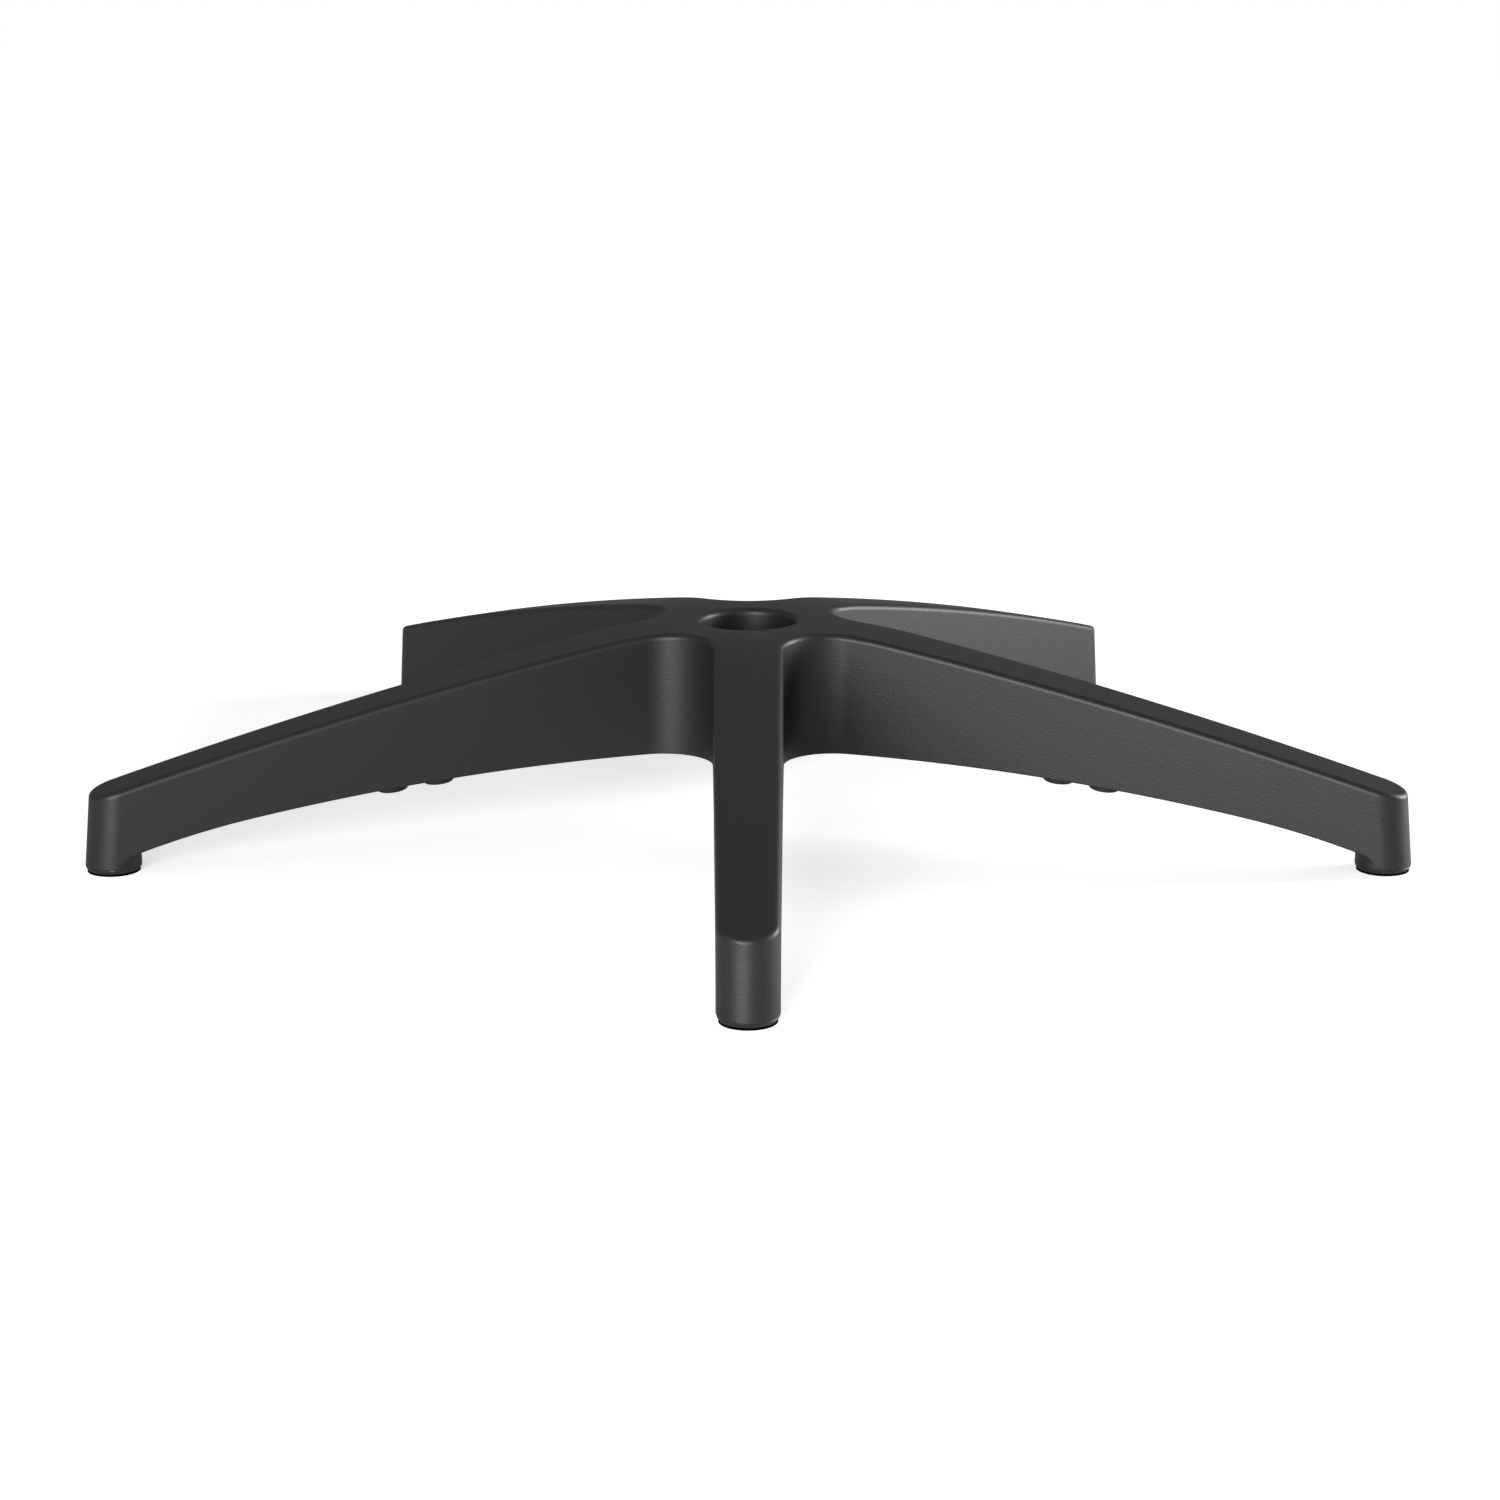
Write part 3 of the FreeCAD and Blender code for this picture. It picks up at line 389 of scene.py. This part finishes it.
def ribs_of_leg():
    """The long rib in pieces between the tube, the posts and the foot, the cross ribs, which stop at a post
    where there is one, and the web. Each ends in the middle of the wall that it meets."""
    post_wall = POST_RADIUS - POST_WALL / 2
    stops = [TUBE_RADIUS - TUBE_WALL / 2]
    for circle in POST_CIRCLES:
        stops += [circle - post_wall, circle + post_wall]
    stops.append(FOOT_CIRCLE - BOSS_RADIUS + RIB_LAP)
    parts = [rib((near, 0.0), (far, 0.0), LONG_RIB) for near, far in zip(stops[::2], stops[1::2])]
    for x in CROSS_RIB_CIRCLES:
        wall = inside_of_wall(x)
        if x in POST_CIRCLES:
            parts.append(rib((x, post_wall), (x, wall), CROSS_RIB))
            parts.append(rib((x, -wall), (x, -post_wall), CROSS_RIB))
        else:
            parts.append(rib((x, -wall), (x, wall), CROSS_RIB))
    corner_wall = CORNER_CIRCLE - HUB_CORNER - SIDE_WALL / 2
    direction = np.array([math.cos(HALF_TURN), math.sin(HALF_TURN)])
    parts.append(rib(stops[0] * direction, corner_wall * direction, HUB_WEB))
    return parts


# The star: every grid is turned to each of the five legs, and the skin and the tube also mirrored. Points
# that lie together are joined, so that no seam shows.
SHARP_ANGLE = math.radians(32)
points, quads, caps = [], [], []


def grid_faces(rows, columns, first, closed):
    """Quads of a grid whose points are numbered row by row; a closed grid's last column meets its first."""
    index = first + np.arange(rows * columns).reshape(rows, columns)
    if closed:
        index = np.concatenate([index, index[:, :1]], 1)
    corners = (index[:-1, :-1], index[:-1, 1:], index[1:, 1:], index[1:, :-1])
    return np.stack(corners, -1).reshape(-1, 4)


def placed(grid, leg):
    """Turns points about the hub's axis to a leg's place: the first leg points along -Y."""
    angle = 2 * math.pi * leg / LEG_COUNT - math.pi / 2
    c, s = math.cos(angle), math.sin(angle)
    x, y, z = np.moveaxis(grid, -1, 0)
    return np.stack([x * c - y * s, x * s + y * c, z], -1)


def add(grid, leg, flip=False, closed=False, capped=False):
    """Adds a grid of points, turned to the leg's place, and its faces to the moulding. A capped grid gets
    one face over its first row and one over its last."""
    rows, columns = grid.shape[:2]
    start = sum(map(len, points))
    faces = grid_faces(rows, columns, start, closed)
    points.append(placed(grid, leg).reshape(-1, 3))
    quads.append(faces[:, ::-1] if flip else faces)
    if capped:
        first = start + np.arange(columns)
        last = first + (rows - 1) * columns
        caps.extend([first[::-1], last])


def merged(points, quads):
    """Joins points that agree to four decimals. A quad with two joined corners becomes a triangle."""
    _, kept, index = np.unique(np.round(points, 4), axis=0, return_index=True, return_inverse=True)
    index = index.reshape(-1)
    quads = index[quads]
    same = quads == np.roll(quads, 1, axis=1)
    whole = same.sum(1) < 2
    faces = [
        [corner for corner, twice in zip(quad, twins) if not twice]
        for quad, twins in zip(quads[whole].tolist(), same[whole].tolist())
    ]
    return points[kept], faces, index


halves = [half_leg_skin(), hub_core()]
turned_pieces = [foot(), *(post(circle) for circle in POST_CIRCLES)]
ribs = ribs_of_leg()
for leg in range(LEG_COUNT):
    for mirror in (1, -1):
        for grid in halves:
            add(grid * (1, mirror, 1), leg, flip=mirror < 0)
    for grid in turned_pieces:
        add(np.concatenate([grid, grid[:1]]), leg, flip=True)
    for grid in ribs:
        add(grid, leg, closed=True, capped=True)

star_points, faces, index = merged(np.concatenate(points), np.concatenate(quads))
faces += [index[cap].tolist() for cap in caps]
mesh = bpy.data.meshes.new("moulded_star")
mesh.from_pydata((star_points * MM).tolist(), [], faces)
mesh.validate()
moulding = bpy.data.objects.new("moulded_star", mesh)
scene.collection.objects.link(moulding)
mesh.shade_smooth()
mesh.set_sharp_from_angle(angle=SHARP_ANGLE)
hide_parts("five_star_base")
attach(moulding, "root")


def linear(colour):
    """Linear RGBA of an sRGB hex colour: c / 12.92 up to 0.04045, ((c + 0.055) / 1.055)^2.4 above it."""
    channels = [int(colour[i:i + 2], 16) / 255 for i in (1, 3, 5)]
    return (*(c / 12.92 if c <= 0.04045 else ((c + 0.055) / 1.055) ** 2.4 for c in channels), 1.0)


def add_node(tree, kind, settings=None, **inputs):
    """Adds a shader node with its settings. Inputs go by their identifiers, with underscores for spaces, and
    each is a value or the socket that feeds it."""
    node = tree.nodes.new("ShaderNode" + kind)
    for key, value in (settings or {}).items():
        setattr(node, key, value)
    sockets = {socket.identifier.replace(" ", "_"): socket for socket in node.inputs}
    for key, value in inputs.items():
        if isinstance(value, bpy.types.NodeSocket):
            tree.links.new(value, sockets[key])
        else:
            sockets[key].default_value = value
    return node


# Black polypropylene, through-coloured. The mould's walls are spark-eroded, which leaves a fine grain on
# every upright face, and the crown comes out smoother. The grain is drawn 1.1 mm wide, coarser than it is,
# so that it shows. The collars under the feet are painted near-black and without shine: painted shade.
PLASTIC, COLLAR_PAINTED_SHADE = "#1b1b1b", "#050505"
PLASTIC_SHINE, PAINTED_SHADE_SHINE = 0.5, 0.0
ROUGHNESS, IOR = 0.47, 1.49
GRAIN_SIZE, GRAIN_HEIGHT = 1.1, 0.08
WALL_GRAIN, CROWN_GRAIN = 1.0, 0.2
WALL_FACING, CROWN_FACING = 0.3, 0.8  # the normal's Z up to which a face is wall, and from which it is crown
plastic = bpy.data.materials.new("black_polypropylene")
plastic.use_nodes = True
tree = plastic.node_tree
shader = tree.nodes["Principled BSDF"]
shader.inputs["Roughness"].default_value = ROUGHNESS
shader.inputs["IOR"].default_value = IOR
place = add_node(tree, "TexCoord")
point = add_node(tree, "SeparateXYZ", Vector=place.outputs["Object"])
# Painted shade: below the collar's top the colour turns near-black and the shine is turned off, standing in
# for the shadow under each foot.
collar_top = (COLLAR_HEIGHT - HEIGHT) * MM
below = add_node(tree, "Math", {"operation": "LESS_THAN"}, Value=point.outputs["Z"], Value_001=collar_top)
painted_shade_on_collar = below.outputs["Value"]
colour = add_node(
    tree, "Mix", {"data_type": "RGBA"},
    Factor_Float=painted_shade_on_collar, A_Color=linear(PLASTIC), B_Color=linear(COLLAR_PAINTED_SHADE),
)
shine = add_node(tree, "MapRange", Value=painted_shade_on_collar, To_Min=PLASTIC_SHINE, To_Max=PAINTED_SHADE_SHINE)
facing = add_node(tree, "SeparateXYZ", Vector=place.outputs["Normal"])
strength = add_node(
    tree, "MapRange", Value=facing.outputs["Z"],
    From_Min=WALL_FACING, From_Max=CROWN_FACING, To_Min=WALL_GRAIN, To_Max=CROWN_GRAIN,
)
grain = add_node(tree, "TexNoise", Vector=place.outputs["Object"], Scale=1 / (GRAIN_SIZE * MM), Detail=1.0)
bump = add_node(
    tree, "Bump", Height=grain.outputs[0], Strength=strength.outputs[0], Distance=GRAIN_HEIGHT * MM
)
MIXED_COLOUR = 2  # the Mix node's output for colours
tree.links.new(colour.outputs[MIXED_COLOUR], shader.inputs["Base Color"])
tree.links.new(shine.outputs[0], shader.inputs["Specular IOR Level"])
tree.links.new(bump.outputs[0], shader.inputs["Normal"])
mesh.materials.append(plastic)

# Floor: a wide sheet of matt white paper that the base stands on. To the camera it glows as well, fully
# at a distance and less beside the base, so that it runs into the white room and the shadow still shows.
# From here on, sizes and distances are in metres.
FLOOR_HALF = 6.0
PAPER = "#e7e7e7"
GLOW_LEAST_AT, GLOW_FULL_AT = 0.42, 1.2
GLOW_LEAST, GLOW_FULL = 0.6, 1.0
floor_z = -HEIGHT * MM
floor_mesh = bpy.data.meshes.new("floor")
floor_corners = [(x * FLOOR_HALF, y * FLOOR_HALF, floor_z) for x, y in ((-1, -1), (1, -1), (1, 1), (-1, 1))]
floor_mesh.from_pydata(floor_corners, [], [(0, 1, 2, 3)])
floor = bpy.data.objects.new("floor", floor_mesh)
scene.collection.objects.link(floor)
paper = bpy.data.materials.new("white_paper")
paper.use_nodes = True
tree = paper.node_tree
tree.nodes.clear()
ray = add_node(tree, "LightPath")
place = add_node(tree, "NewGeometry")
away = add_node(tree, "VectorMath", {"operation": "LENGTH"}, Vector=place.outputs["Position"])
far = add_node(
    tree, "MapRange", Value=away.outputs["Value"],
    From_Min=GLOW_LEAST_AT, From_Max=GLOW_FULL_AT, To_Min=GLOW_LEAST, To_Max=GLOW_FULL,
)
seen = add_node(
    tree, "Math", {"operation": "MULTIPLY"}, Value=ray.outputs["Is Camera Ray"], Value_001=far.outputs[0]
)
glow = add_node(tree, "Emission", Strength=seen.outputs[0])
white = add_node(tree, "BsdfDiffuse", Color=linear(PAPER))
both = add_node(tree, "AddShader", Shader=white.outputs[0], Shader_001=glow.outputs[0])
add_node(tree, "OutputMaterial", Surface=both.outputs[0])
floor_mesh.materials.append(paper)

# Room: white to the camera, and dim all round, so that two low lamps draw the walls, one in front and a
# little to the left, and one on the right. The crown gets little of them and stays dark.
ROOM, ROOM_SEEN, ROOM_LIGHT = "#ffffff", 1.0, 0.24
world = bpy.data.worlds.new("studio")
scene.world = world
world.use_nodes = True
tree = world.node_tree
background = tree.nodes["Background"]
background.inputs["Color"].default_value = linear(ROOM)
ray = add_node(tree, "LightPath")
level = add_node(tree, "MapRange", Value=ray.outputs["Is Camera Ray"], To_Min=ROOM_LIGHT, To_Max=ROOM_SEEN)
tree.links.new(level.outputs[0], background.inputs["Strength"])


def lamp(name, azimuth, elevation, distance, size, power):
    """A square lamp aimed at the hub, with its power in watts. The azimuth is 0 degrees in front of the first
    leg and 90 on its right, so the lamp's place is its distance times (sin azimuth cos elevation,
    -cos azimuth cos elevation, sin elevation)."""
    around, up = math.radians(azimuth), math.radians(elevation)
    place = distance * Vector((
        math.sin(around) * math.cos(up), -math.cos(around) * math.cos(up), math.sin(up),
    ))
    light = bpy.data.lights.new(name, "AREA")
    light.size = size
    light.energy = power
    holder = bpy.data.objects.new(name, light)
    scene.collection.objects.link(holder)
    holder.location = place
    holder.rotation_mode = "QUATERNION"
    holder.rotation_quaternion = (-place).to_track_quat("-Z", "Y")


lamp("front_left", azimuth=-18, elevation=12, distance=2.2, size=1.0, power=51)
lamp("right", azimuth=105, elevation=12, distance=2.2, size=0.9, power=55)

# Camera: in front of the first leg and a little above it, looking slightly down. Its place, tilt, roll and
# focal length fit the photograph's outline.
CAMERA_PLACE = (0.00085, -1.762, 0.3898)
CAMERA_TILT, CAMERA_ROLL = math.radians(75.34), -0.0005
FOCAL_LENGTH, SENSOR_WIDTH = 82.49, 36.0  # millimetres
lens = bpy.data.cameras.new("camera")
lens.sensor_width = SENSOR_WIDTH
lens.lens = FOCAL_LENGTH
lens.clip_start, lens.clip_end = 0.05, 30.0
camera = bpy.data.objects.new("camera", lens)
camera.location = CAMERA_PLACE
camera.rotation_euler = (
    Matrix.Rotation(CAMERA_TILT, 3, "X") @ Matrix.Rotation(CAMERA_ROLL, 3, "Z")
).to_euler()
scene.collection.objects.link(camera)
scene.camera = camera

scene.view_settings.view_transform = "Standard"
